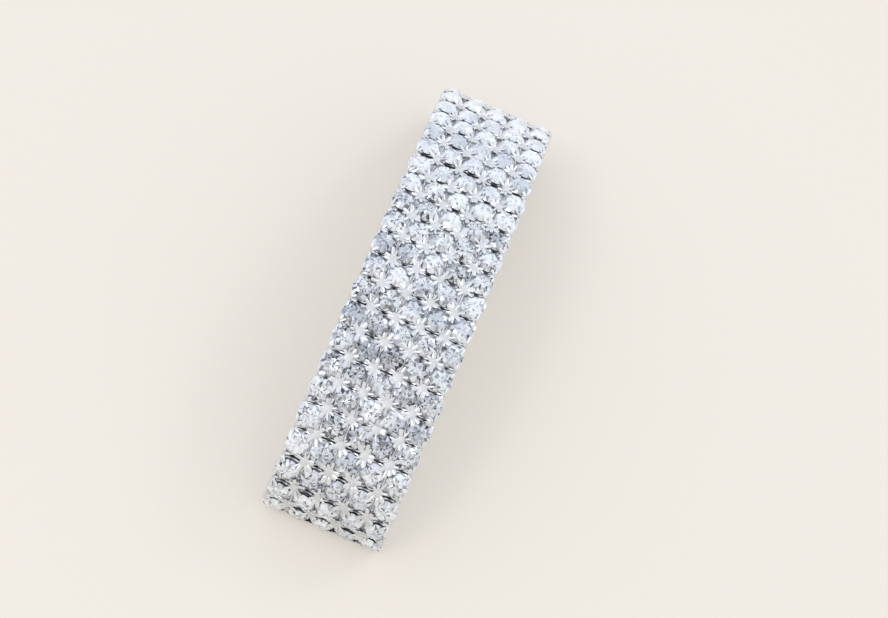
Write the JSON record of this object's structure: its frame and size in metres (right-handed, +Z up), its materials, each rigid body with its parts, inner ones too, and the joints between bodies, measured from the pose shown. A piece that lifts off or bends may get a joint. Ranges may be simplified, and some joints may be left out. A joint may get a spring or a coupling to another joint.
{
  "type": "rhinestone hair clip",
  "caption": "Arched barrette: strands of round faceted crystals in silver cups, side by side on a plate that turns down at both ends, over a hinged French clip with a pinch catch.",
  "frame": {"origin": "middle of the clip's footprint, on the surface that the arched plate's two ends stand on", "axes": "+X along the clip from its hinge to its catch, +Y across the strands, +Z up towards the crown of the arch"},
  "size_m": [0.0772, 0.0186, 0.0248],
  "materials": {
    "crystal": "foil-backed faceted crystal in silver-plated cups",
    "silver_plate": "bright silver plate",
    "backing_silver": "silver-plated, lightly brushed",
    "clip_steel": "nickel-plated spring steel"
  },
  "bodies": {
    "band": {"strand_1": "crystal", "strand_2": "crystal", "strand_3": "crystal", "strand_4": "crystal", "strand_5": "crystal", "backing_plate": "backing_silver", "clip_spine": "clip_steel", "hinge_pin": "clip_steel", "catch_bracket": "clip_steel", "rivet_hinge": "silver_plate", "rivet_middle": "silver_plate", "rivet_catch": "silver_plate"},
    "clasp": {"clasp_arm": "clip_steel"},
    "tension_bar": {"tension_bar": "clip_steel"},
    "cheek_left": {"catch_cheek_left": "clip_steel"},
    "cheek_right": {"catch_cheek_right": "clip_steel"}
  },
  "joints": [
    {"name": "clasp_hinge", "type": "hinge", "parent": "band", "child": "clasp", "pos_m": [-0.02627, 0, 0.00993], "axis": [0, 1, 0], "range_deg": [0, 75]},
    {"name": "tension_bar_give", "type": "hinge", "parent": "band", "child": "tension_bar", "pos_m": [-0.02627, 0, 0.00993], "axis": [0, -1, 0], "range_deg": [0, 1.9], "stiffness_Nm_per_rad": 0.4},
    {"name": "cheek_left_squeeze", "type": "hinge", "parent": "band", "child": "cheek_left", "pos_m": [0.02609, 0.00155, 0.01126], "axis": [-1, 0, 0], "range_deg": [0, 8], "stiffness_Nm_per_rad": 0.06},
    {"name": "cheek_right_squeeze", "type": "hinge", "parent": "band", "child": "cheek_right", "pos_m": [0.02609, -0.00155, 0.01126], "axis": [1, 0, 0], "range_deg": [0, 8], "stiffness_Nm_per_rad": 0.06}
  ]
}
